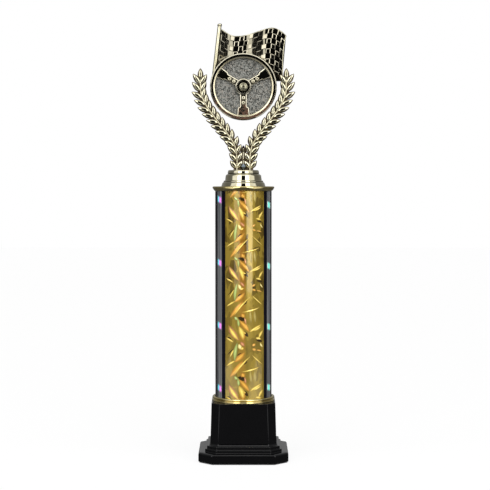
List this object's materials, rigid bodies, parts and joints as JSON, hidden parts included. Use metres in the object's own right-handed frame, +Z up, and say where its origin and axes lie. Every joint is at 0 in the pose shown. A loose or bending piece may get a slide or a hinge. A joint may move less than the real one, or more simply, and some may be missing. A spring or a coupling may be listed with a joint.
{
  "type": "column trophy",
  "caption": "Tall award trophy: laurel wreath, steering wheel and chequered flag on a foil-wrapped round column over a stepped black base.",
  "frame": {"origin": "centre of the underside of the felt pad, where the trophy stands", "axes": "+Z up along the column's axis, -Y towards the front, where the wheel faces, +X to the viewer's right"},
  "size_m": [0.0916, 0.0788, 0.385],
  "materials": {
    "black_gloss": "polished black moulding",
    "felt": "black felt",
    "board": "fibreboard",
    "ballast": "cast cement",
    "steel": "zinc plated",
    "tube_plastic": "plain extruded tube",
    "foil": "hologram foil in gold, black and silver stripes under a clear film",
    "gold": "gold metallised plastic",
    "pale_gold": "pale gold metallised plastic",
    "relief": "pale gold metallised relief",
    "glitter": "silver sparkle insert",
    "brass_insert": "turned"
  },
  "bodies": {
    "column": {"felt_pad": "felt", "bottom_plate": "board", "base_shell": "black_gloss", "base_weight": "ballast", "lower_washer": "steel", "lower_nut": "steel", "tie_rod": "steel", "foot_ring": "gold", "column_tube": "tube_plastic", "column_film": "foil", "column_cap": "gold", "upper_washer": "steel", "upper_nut": "steel"},
    "riser": {"topper_riser": "pale_gold"},
    "topper": {"topper_foot": "pale_gold", "insert_nut": "brass_insert", "laurel_left": "pale_gold", "laurel_right": "pale_gold", "wreath_tie": "pale_gold", "flag_pole": "pale_gold", "checkered_flag": "relief", "wheel_backplate": "relief", "insert_disc": "glitter", "wheel_rim": "relief", "wheel_spokes": "relief", "hub_ring": "relief", "horn_button": "relief", "spoke_bolt_1": "relief", "spoke_bolt_2": "relief", "spoke_bolt_3": "relief", "spoke_bolt_4": "relief", "spoke_bolt_5": "relief", "spoke_bolt_6": "relief"}
  },
  "joints": [
    {"name": "topper_turn", "type": "hinge", "parent": "column", "child": "riser", "pos_m": [0, 0, 0.2412], "axis": [0, 0, 1], "range_deg": [0, 2160]},
    {"name": "topper_rise", "type": "slide", "parent": "riser", "child": "topper", "axis": [0, 0, 1], "range_m": [0, 0.006]}
  ],
  "couplings": [
    {"joint": "topper_rise", "follows": "topper_turn", "m_per_rad": 0.00015915}
  ]
}
